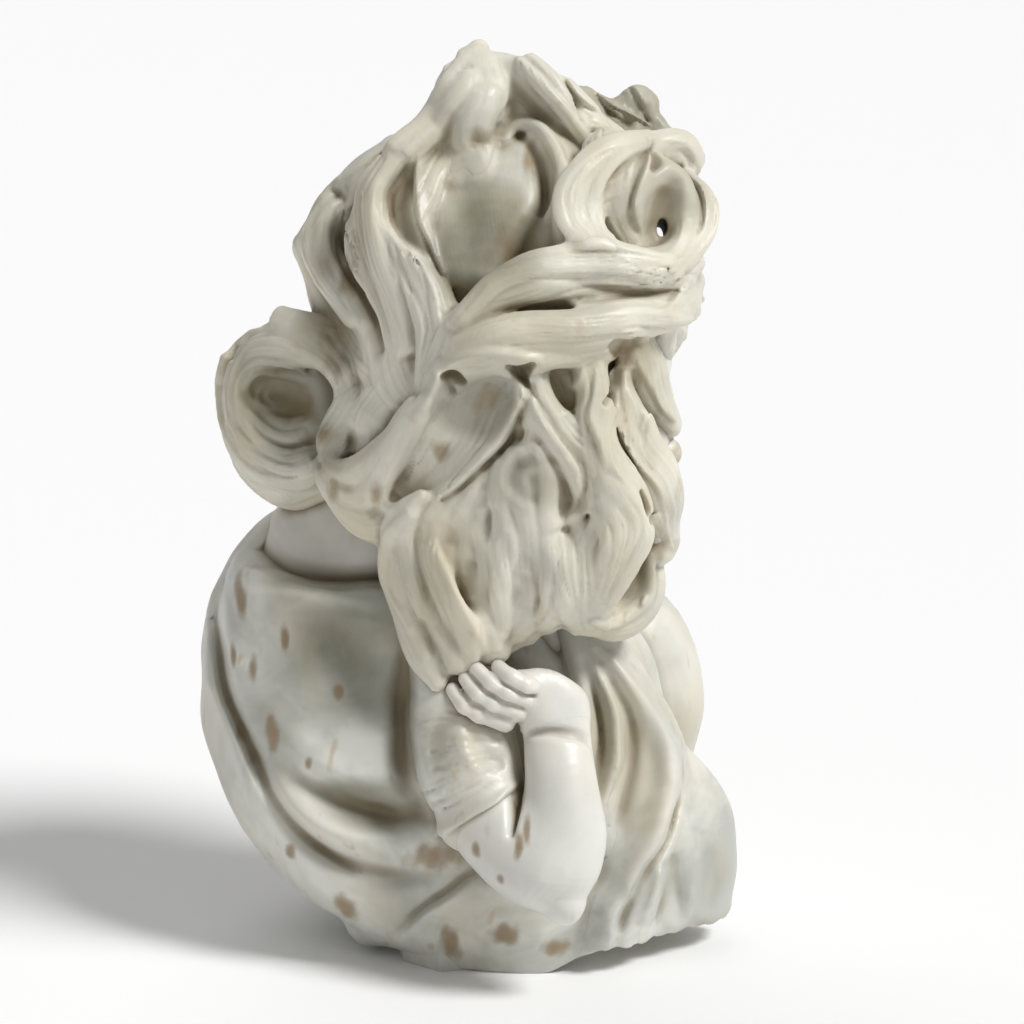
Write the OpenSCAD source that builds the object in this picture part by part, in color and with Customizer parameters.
// Marble bust of a woman whose bowed head rests on her right hand.
// The stone stands on a flat sawn face at z = 0; +X is the way the face turns, -Y is the near side.
// Every carved form is its own module, laid along hand-set control points.
// A control point of a lock, limb or fold is [x, y, z, half width, half thickness].

/* [Overall] */
// Height of the bust from its rest face to the tip of the crown tuft
bust_h = 445; // [220:1:900]
// Height of the plain sawn foot under the drapery
foot_h = 12; // [8:1:16]

/* [Hair and drapery] */
// How fat the carved locks are, against the drawn thickness
lock_relief = 1.0; // [0.85:0.05:1.2]
// Wall of the shawl around the torso
shawl_wall = 9; // [6:0.5:12]
// Girth of the arm, against the drawn girth
arm_girth = 1.0; // [0.9:0.05:1.1]

/* [Hidden] */
DRAWN_H = 445;
k = bust_h / DRAWN_H;
// Middle of the drawn form's box in plan, moved to the origin
BOX_MIDDLE = [0.3, -8, 0];
SIDES = 10;
STEPS = 3;
LOFT_SIDES = 28;
LOFT_STEPS = 2;
WRAP_SIDES = 16;
HAIR_CORE = [28, 0, 300];
FACE_YAW = -33;
FACE_BOW = 18;

MARBLE = "ivory";
CREAM = "antiquewhite";
GREY = "gainsboro";
HONEY = "wheat";

// Point at parameter u on a smooth curve through the control points p
function spline(p, u) =
    let (last = len(p) - 1, i = min(floor(u), last - 1), t = u - i)
    let (a = p[max(i - 1, 0)], b = p[i], c = p[i + 1], d = p[min(i + 2, last)])
    (2 * b + (c - a) * t + (2 * a - 5 * b + 4 * c - d) * t * t + (3 * b - a - 3 * c + d) * t * t * t)
        / 2;

function xyz(q) = [q[0], q[1], q[2]];

function unit(v) = v / norm(v);

// Elliptical cross-section of a lock; its thickness points away from core
function lock_ring(p, u, core, fat) =
    let (q = spline(p, u), here = xyz(q), last = len(p) - 1)
    let (ahead = unit(xyz(spline(p, min(u + 0.1, last))) - xyz(spline(p, max(u - 0.1, 0)))))
    let (away = here - core, up = unit(away - (away * ahead) * ahead), side = cross(ahead, up))
    [for (j = [0 : SIDES - 1])
        here + q[3] * cos(j * 360 / SIDES) * side + fat * q[4] * sin(j * 360 / SIDES) * up];

// Closed skin over a stack of rings that all have n points
module skin(rings, n) {
    last = len(rings) - 1;
    walls = [for (i = [0 : last - 1]) for (j = [0 : n - 1]) let (m = (j + 1) % n)
        each [[i * n + j, i * n + m, (i + 1) * n + m], [i * n + j, (i + 1) * n + m, (i + 1) * n + j]]];
    start = [for (j = [0 : n - 1]) n - 1 - j];
    end = [for (j = [0 : n - 1]) last * n + j];
    polyhedron([for (r = rings) each r], concat(walls, [start, end]), convexity = 6);
}

// A lock of hair, limb or fold swept along its control points
module lock(p, core = HAIR_CORE, fat = lock_relief) {
    count = (len(p) - 1) * STEPS;
    skin([for (s = [0 : count]) lock_ring(p, s / STEPS, core, fat)], SIDES);
}

// Point on the trunk at angle a about its middle, set in from the surface by inset
// A level of the trunk is [z, left x, right x, near y, far y, middle x, middle y]
function trunk_point(q, a, inset) =
    let (c = cos(a), s = sin(a))
    let (reach_x = (c > 0 ? q[2] - q[5] : q[5] - q[1]) - inset)
    let (reach_y = (s > 0 ? q[4] - q[6] : q[6] - q[3]) - inset)
    [q[5] + reach_x * sign(c) * pow(abs(c), 0.85), q[6] + reach_y * sign(s) * pow(abs(s), 0.85), q[0]];

// Solid trunk between the levels numbered first and last
module trunk(levels, first, last, inset = 0) {
    rings = [for (s = [first * LOFT_STEPS : last * LOFT_STEPS]) let (q = spline(levels, s / LOFT_STEPS))
        [for (j = [0 : LOFT_SIDES - 1]) trunk_point(q, -j * 360 / LOFT_SIDES, inset)]];
    skin(rings, LOFT_SIDES);
}

// Wall of cloth round the trunk, from one angle to another
module wrap(levels, first, last, from, to, wall) {
    turn = (to - from) / WRAP_SIDES;
    rings = [for (s = [first * LOFT_STEPS : last * LOFT_STEPS]) let (q = spline(levels, s / LOFT_STEPS))
        [for (j = [0 : WRAP_SIDES]) trunk_point(q, to - j * turn, 0),
            for (j = [0 : WRAP_SIDES]) trunk_point(q, from + j * turn, wall)]];
    skin(rings, 2 * WRAP_SIDES + 2);
}

module ball(at, r) translate(at) scale(r) sphere(r = 1, $fn = 14);

// Makes one closed solid of its children and brings it to size
module carved() scale(k) translate(-BOX_MIDDLE) resize([0, 0, 0]) union() children();

// Outlines of the draped body, from the foot to the collar
BODY = [
    [0, -40, 106, -60, 86, 30, 15],
    [28, -88, 112, -68, 98, 20, 15],
    [58, -113, 106, -72, 100, 8, 15],
    [100, -129, 98, -68, 98, 0, 15],
    [140, -130, 90, -58, 84, -5, 15],
    [172, -122, 66, -46, 64, -30, 12],
    [190, -112, 6, -34, 46, -60, 10]];

// Outline of the sawn foot, counted round from its near tip
FOOT = [[-12, -58], [22, -50], [60, -30], [94, 2], [98, 56], [56, 80], [0, 78], [-34, 52], [-38, 4],
    [-30, -42]];

module foot() color(GREY) scale(k) translate(-BOX_MIDDLE) linear_extrude(foot_h) polygon(FOOT);

module torso() color(MARBLE) carved() trunk(BODY, 0.5, 5.5, shawl_wall);

NECK = [[-60, 16, 160, 50, 40], [-56, 14, 184, 48, 38], [-42, 10, 208, 42, 36], [-18, 6, 232, 38, 36],
    [4, 0, 250, 36, 34]];

module neck() color(CREAM) carved() lock(NECK, core = [0, 400, 200], fat = 1);

module shawl_near() color(MARBLE) carved() wrap(BODY, 0, 6, 165, 305, shawl_wall);

module shawl_back() color(MARBLE) carved() wrap(BODY, 0.5, 5.5, -55, 165, shawl_wall);

RIM = [[-82, 20, 214, 8, 4], [-104, 18, 196, 10, 5], [-120, 14, 168, 10, 5], [-125, 10, 130, 10, 5],
    [-120, 6, 92, 10, 5], [-104, 0, 60, 10, 5], [-76, -8, 32, 9, 5], [-46, -24, 14, 6, 4]];

module shawl_rim() color(CREAM) carved() lock(RIM, core = [20, 60, 110], fat = 1);

UNDER_FOLD = [[-50, -26, 12, 12, 7], [-28, -50, 24, 14, 8], [2, -64, 40, 12, 8], [22, -70, 48, 8, 6]];

module under_fold() color(MARBLE) carved() lock(UNDER_FOLD, core = [0, 40, 30], fat = 1);

SLEEVE = [[-14, -36, 164, 22, 18], [-8, -50, 146, 26, 24], [-2, -62, 122, 26, 26],
    [4, -72, 100, 25, 24], [8, -77, 88, 24, 22]];

module sleeve() color(GREY) carved() lock(SLEEVE, core = [40, 100, 120], fat = 1);

UPPER_ARM = [[2, -70, 102, 21, 20], [14, -83, 80, 22, 20], [28, -93, 62, 22, 20],
    [40, -99, 49, 19, 17], [47, -101, 41, 11, 10]];

module upper_arm() color(CREAM) carved() lock(UPPER_ARM, core = [40, 100, 120], fat = arm_girth);

FOREARM = [[44, -99, 42, 12, 11], [46, -98, 56, 21, 18], [47, -95, 80, 22, 18],
    [46, -88, 106, 18, 15], [44, -80, 128, 15, 12], [42, -77, 138, 15, 11]];

module forearm() color(CREAM) carved() lock(FOREARM, core = [46, 100, 90], fat = arm_girth);

PALM = [[44, -77, 130, 13, 9], [38, -76, 142, 17, 10], [24, -72, 147, 18, 10], [10, -68, 148, 13, 8]];
THUMB = [[30, -78, 144, 6, 5], [20, -81, 151, 5, 5], [13, -82, 157, 4, 4], [8, -82, 161, 3, 3]];

module hand() color(CREAM) carved() {
    lock(PALM, core = [30, 0, 150], fat = arm_girth);
    lock(THUMB, core = [30, 0, 150], fat = arm_girth);
}

INDEX = [[22, -76, 152, 4, 4], [8, -76, 160, 4, 4], [-2, -74, 168, 4, 4], [-4, -70, 176, 3, 3]];
MIDDLE = [[20, -76, 146, 5, 4], [2, -77, 154, 4, 4], [-9, -74, 163, 4, 4], [-10, -70, 170, 3, 3]];
RING_FINGER = [[18, -75, 140, 5, 4], [0, -76, 147, 4, 4], [-12, -73, 156, 4, 4], [-14, -69, 163, 3, 3]];
LITTLE = [[16, -73, 135, 4, 4], [0, -74, 140, 4, 4], [-12, -71, 149, 4, 4], [-15, -68, 155, 3, 3]];

module fingers() color(CREAM) carved()
    for (f = [INDEX, MIDDLE, RING_FINGER, LITTLE]) lock(f, core = [0, 0, 150], fat = 1);

FOLD_INNER = [[48, -46, 168, 7, 8], [57, -54, 144, 10, 9], [59, -56, 118, 9, 9], [55, -56, 94, 5, 7]];
FOLD_MIDDLE = [[58, -40, 168, 7, 8], [70, -48, 138, 11, 10], [72, -54, 104, 12, 10],
    [64, -58, 70, 10, 9], [56, -58, 40, 8, 7]];
FOLD_OUTER = [[66, -28, 168, 8, 8], [82, -36, 142, 15, 11], [94, -42, 110, 20, 12],
    [94, -44, 78, 20, 12], [82, -46, 46, 18, 12], [68, -44, 14, 15, 10]];

module front_fold_inner() color(MARBLE) carved() lock(FOLD_INNER, core = [40, 80, 120], fat = 1);

module front_fold_middle() color(MARBLE) carved() lock(FOLD_MIDDLE, core = [40, 80, 120], fat = 1);

module front_fold_outer() color(CREAM) carved() lock(FOLD_OUTER, core = [40, 80, 100], fat = 1);

PANEL = [[96, -4, 94, 14, 9], [109, -2, 68, 20, 10], [111, 0, 42, 23, 11], [106, -2, 16, 27, 10]];

module front_panel() color(GREY) carved() lock(PANEL, core = [60, 100, 50], fat = 1);

FAR_SHOULDER = [[66, 20, 158, 20, 18], [82, 28, 146, 28, 26], [90, 34, 122, 28, 28],
    [92, 36, 96, 24, 26], [92, 36, 76, 18, 20]];

module far_shoulder() color(MARBLE) carved() lock(FAR_SHOULDER, core = [20, 60, 120], fat = 1);

// Brings a form drawn with the face along +X and the crown along +Z to the bowed head
module bowed() translate([28, -11, 291]) rotate([0, 0, FACE_YAW]) rotate([0, FACE_BOW, 0]) children();

module head() color(CREAM) carved() bowed() {
    scale([75, 62, 74]) sphere(r = 1, $fn = 24);
    hull() {
        translate([38, 0, -20]) scale([40, 50, 44]) sphere(r = 1, $fn = 16);
        translate([50, 0, -86]) scale([24, 26, 22]) sphere(r = 1, $fn = 16);
    }
    hull() {
        ball([76, 0, -22], 5);
        ball([86, 0, -48], 7);
    }
    ball([76, 0, -72], 10);
    ball([70, 0, -98], 14);
}

module hair_cap() color(GREY) carved() difference() {
    translate([26, -4, 306]) scale([78, 74, 92]) sphere(r = 1, $fn = 32);
    translate([-200, -200, 100]) cube([400, 400, 160]);
    bowed() translate([40, -150, -120]) cube([120, 300, 150]);
}

SWEEP_OUTER = [[0, -4, 408, 8, 6], [-26, -6, 390, 13, 9], [-42, -12, 366, 15, 10],
    [-46, -22, 341, 15, 10],
    [-38, -46, 317, 14, 10], [-28, -66, 291, 12, 9], [-17, -72, 274, 8, 7]];
SWEEP_INNER = [[8, -8, 400, 5, 5], [-12, -32, 384, 9, 8], [-26, -46, 364, 10, 9], [-24, -62, 344, 9, 9],
    [-10, -78, 325, 9, 8], [-4, -82, 305, 9, 8], [-14, -78, 284, 7, 6]];

module back_sweep() color(CREAM) carved() {
    lock(SWEEP_OUTER);
    lock(SWEEP_INNER);
}

ROLL_OUTER = [[-33, 14, 388, 10, 9], [-54, 16, 368, 15, 12], [-66, 16, 348, 16, 12],
    [-66, 12, 328, 16, 12],
    [-58, 0, 310, 15, 12], [-46, -20, 294, 14, 11], [-32, -44, 279, 9, 8]];
ROLL_BEHIND = [[-26, 36, 384, 10, 9], [-50, 38, 356, 16, 12], [-58, 32, 326, 16, 12],
    [-54, 20, 298, 14, 10]];

module back_roll() color(HONEY) carved() {
    lock(ROLL_OUTER);
    lock(ROLL_BEHIND);
}

BUN_RING = [[-50, -22, 298, 14, 9], [-68, -16, 302, 17, 11], [-88, -8, 298, 19, 12],
    [-101, 0, 283, 20, 12],
    [-104, 2, 262, 20, 12], [-96, -2, 244, 19, 12], [-78, -8, 238, 17, 11], [-62, -16, 246, 13, 9]];
BUN_HEART = [[-78, 30, 262, 16, 16], [-78, 12, 266, 24, 24], [-78, 0, 268, 20, 20]];
BUN_LOW = [[-108, 22, 262, 9, 8], [-104, 16, 242, 12, 10], [-92, 8, 230, 13, 11],
    [-76, -2, 228, 13, 11], [-56, -18, 238, 9, 8]];

module nape_bun() color(HONEY) carved() {
    lock(BUN_RING, core = [-80, 0, 266]);
    lock(BUN_HEART, core = [-80, 0, 400]);
    lock(BUN_LOW, core = [-80, 20, 262]);
}

TUFT_LEFT = [[14, -38, 389, 9, 7], [4, -12, 402, 11, 8], [-1, -6, 415, 10, 8], [1, -2, 430, 7, 6],
    [9, 0, 443, 3, 3]];
TUFT_RIGHT = [[68, -30, 382, 9, 7], [52, -16, 398, 13, 10], [39, -12, 412, 13, 10],
    [29, -4, 423, 9, 7], [20, 0, 424, 4, 4]];
TUFT_MIDDLE = [[36, -46, 386, 8, 6], [26, -24, 402, 12, 9], [18, -8, 412, 12, 9], [14, 4, 418, 8, 7]];

module crown_tuft() color(CREAM) carved() for (t = [TUFT_LEFT, TUFT_RIGHT, TUFT_MIDDLE]) lock(t);

REAR_A = [[65, -8, 385, 12, 9], [58, 10, 401, 13, 10], [54, 16, 411, 7, 6]];
REAR_B = [[84, -8, 386, 11, 9], [77, 8, 401, 12, 10], [81, 12, 411, 7, 6]];
REAR_C = [[97, -8, 384, 10, 8], [91, 6, 396, 11, 9], [88, 8, 405, 6, 5]];

module rear_tuft() color(GREY) carved() for (t = [REAR_A, REAR_B, REAR_C]) lock(t);

LOOP = [[108, -12, 386, 7, 5], [88, -34, 391, 9, 6], [68, -54, 388, 12, 8], [55, -68, 374, 13, 9],
    [58, -78, 358, 13, 9],
    [74, -82, 349, 12, 9], [92, -74, 350, 12, 9], [104, -58, 357, 11, 8], [108, -42, 370, 9, 7],
        [104, -30, 380, 6, 5]];
LOOP_HEART = [[86, 10, 372, 14, 16], [84, -20, 368, 22, 20], [80, -44, 362, 18, 14]];

module loop_roll() color(CREAM) carved() {
    lock(LOOP, core = [84, 160, 370]);
    lock(LOOP_HEART, core = [80, 0, 200]);
}

UPPER_BAND = [[-10, -80, 284, 7, 6], [-1, -86, 310, 10, 8], [18, -90, 328, 12, 9],
    [41, -87, 337, 12, 9],
    [66, -80, 338, 12, 9], [92, -66, 336, 11, 8], [104, -46, 342, 8, 7]];

module upper_band() color(MARBLE) carved() lock(UPPER_BAND);

BAND = [[-12, -80, 282, 7, 6], [5, -90, 303, 11, 9], [28, -96, 313, 12, 9], [54, -92, 317, 12, 9],
    [80, -80, 320, 12, 9], [100, -60, 326, 11, 8], [106, -38, 336, 8, 7]];
BAND_UNDER = [[-8, -86, 290, 5, 5], [10, -96, 299, 8, 7], [30, -98, 302, 9, 7], [50, -94, 305, 8, 7],
    [66, -84, 309, 5, 5]];

module lower_band() color(MARBLE) carved() {
    lock(BAND);
    lock(BAND_UNDER);
}

LEAF = [[30, -92, 296, 14, 6], [16, -94, 286, 20, 6], [2, -88, 270, 19, 6], [-12, -78, 252, 14, 6],
    [-26, -66, 234, 7, 5]];

module temple_leaf() color(CREAM) carved() lock(LEAF);

SWOOP = [[-50, -40, 278, 9, 8], [-60, -36, 258, 11, 9], [-58, -40, 236, 11, 9], [-44, -52, 222, 11, 9],
    [-24, -66, 226, 10, 8], [0, -80, 244, 9, 8], [24, -88, 262, 6, 6]];
SWOOP_FILL = [[-16, -66, 288, 14, 9], [-34, -56, 270, 20, 11], [-38, -52, 246, 18, 11],
    [-32, -56, 230, 10, 8]];

module neck_swoop() color(HONEY) carved() {
    lock(SWOOP);
    lock(SWOOP_FILL);
}

CHEEK_A = [[-22, -62, 224, 9, 7], [-30, -58, 204, 11, 8], [-24, -56, 180, 11, 8],
    [-16, -60, 162, 8, 7], [-10, -64, 154, 4, 4]];
CHEEK_B = [[-4, -74, 240, 11, 8], [-13, -68, 212, 13, 9], [-8, -64, 184, 12, 8], [2, -66, 162, 8, 7]];
CHEEK_C = [[16, -80, 252, 12, 8], [4, -74, 220, 13, 9], [8, -70, 190, 12, 8], [14, -66, 166, 8, 6]];
CHEEK_D = [[30, -82, 238, 12, 8], [24, -78, 210, 13, 9], [26, -72, 186, 11, 8], [20, -68, 168, 7, 6]];
CHEEK_E = [[44, -80, 236, 11, 8], [44, -76, 210, 12, 9], [38, -70, 186, 10, 8], [30, -64, 170, 6, 5]];

module cheek_locks() color(CREAM) carved() for (c = [CHEEK_A, CHEEK_B, CHEEK_C, CHEEK_D, CHEEK_E])
    lock(c, core = [20, 20, 220]);

BROW_NEAR = [[32, -94, 298, 12, 8], [39, -94, 276, 13, 9], [50, -90, 256, 11, 8], [54, -86, 238, 6, 5]];

module brow_lock_near() color(CREAM) carved() lock(BROW_NEAR);

BROW_MIDDLE = [[62, -86, 312, 9, 7], [60, -92, 284, 10, 8], [64, -92, 258, 10, 8],
    [76, -84, 238, 11, 8],
    [82, -78, 220, 11, 8], [74, -74, 200, 9, 7], [64, -68, 186, 5, 5]];

module brow_lock_middle() color(MARBLE) carved() lock(BROW_MIDDLE);

BROW_FAR = [[76, -76, 314, 10, 7], [87, -66, 294, 10, 7], [96, -56, 278, 8, 6], [103, -48, 264, 5, 4]];

module brow_lock_far() color(HONEY) carved() {
    lock(BROW_FAR);
    ball([97, -50, 254], 8);
}

OUTER = [[70, -80, 290, 7, 6], [81, -76, 272, 10, 8], [88, -70, 253, 10, 8], [97, -62, 238, 9, 7],
    [97, -56, 224, 8, 6], [90, -54, 212, 5, 5]];

module outer_lock() color(CREAM) carved() {
    lock(OUTER);
    ball([92, -51, 208], 8);
}

CUP = [[78, -72, 208, 6, 8], [66, -70, 192, 9, 11], [68, -64, 176, 10, 12], [80, -56, 168, 10, 12],
    [94, -48, 174, 9, 11],
    [98, -44, 190, 8, 10], [92, -46, 203, 5, 7]];

module cup_curl() color(HONEY) carved() lock(CUP, core = [82, -58, 190]);

FAR_A = [[74, 30, 378, 14, 10], [40, 52, 384, 20, 13], [0, 60, 366, 22, 14], [-36, 54, 336, 20, 13],
    [-58, 40, 300, 15, 11]];
FAR_B = [[98, 20, 350, 14, 10], [72, 56, 352, 20, 13], [28, 72, 342, 23, 14], [-18, 66, 316, 22, 14],
    [-56, 44, 282, 15, 11]];
FAR_C = [[106, 8, 326, 12, 9], [86, 44, 320, 19, 12], [48, 68, 308, 23, 14], [6, 70, 290, 22, 14],
    [-36, 54, 264, 16, 11]];
FAR_D = [[76, 48, 290, 14, 10], [44, 62, 274, 20, 13], [6, 60, 254, 21, 14], [-30, 50, 240, 15, 11]];
FAR_E = [[62, -16, 394, 14, 10], [34, 16, 400, 21, 13], [0, 30, 388, 22, 14], [-28, 34, 368, 16, 11]];

module far_side_hair() color(GREY) carved() for (f = [FAR_A, FAR_B, FAR_C, FAR_D, FAR_E]) lock(f);

FACE_FAR_A = [[102, -8, 330, 10, 7], [104, 14, 306, 11, 8], [96, 30, 282, 11, 8], [90, 36, 256, 9, 7],
    [92, 34, 232, 5, 5]];
FACE_FAR_B = [[84, 40, 296, 10, 8], [76, 48, 266, 12, 9], [64, 50, 236, 11, 9], [58, 44, 208, 8, 7],
    [60, 38, 190, 4, 4]];

module far_face_locks() color(GREY) carved() {
    lock(FACE_FAR_A);
    lock(FACE_FAR_B);
}

foot();
torso();
neck();
shawl_near();
shawl_back();
shawl_rim();
under_fold();
sleeve();
upper_arm();
forearm();
hand();
fingers();
front_fold_inner();
front_fold_middle();
front_fold_outer();
front_panel();
far_shoulder();
head();
hair_cap();
back_sweep();
back_roll();
nape_bun();
crown_tuft();
rear_tuft();
loop_roll();
upper_band();
lower_band();
temple_leaf();
neck_swoop();
cheek_locks();
brow_lock_near();
brow_lock_middle();
brow_lock_far();
outer_lock();
cup_curl();
far_side_hair();
far_face_locks();
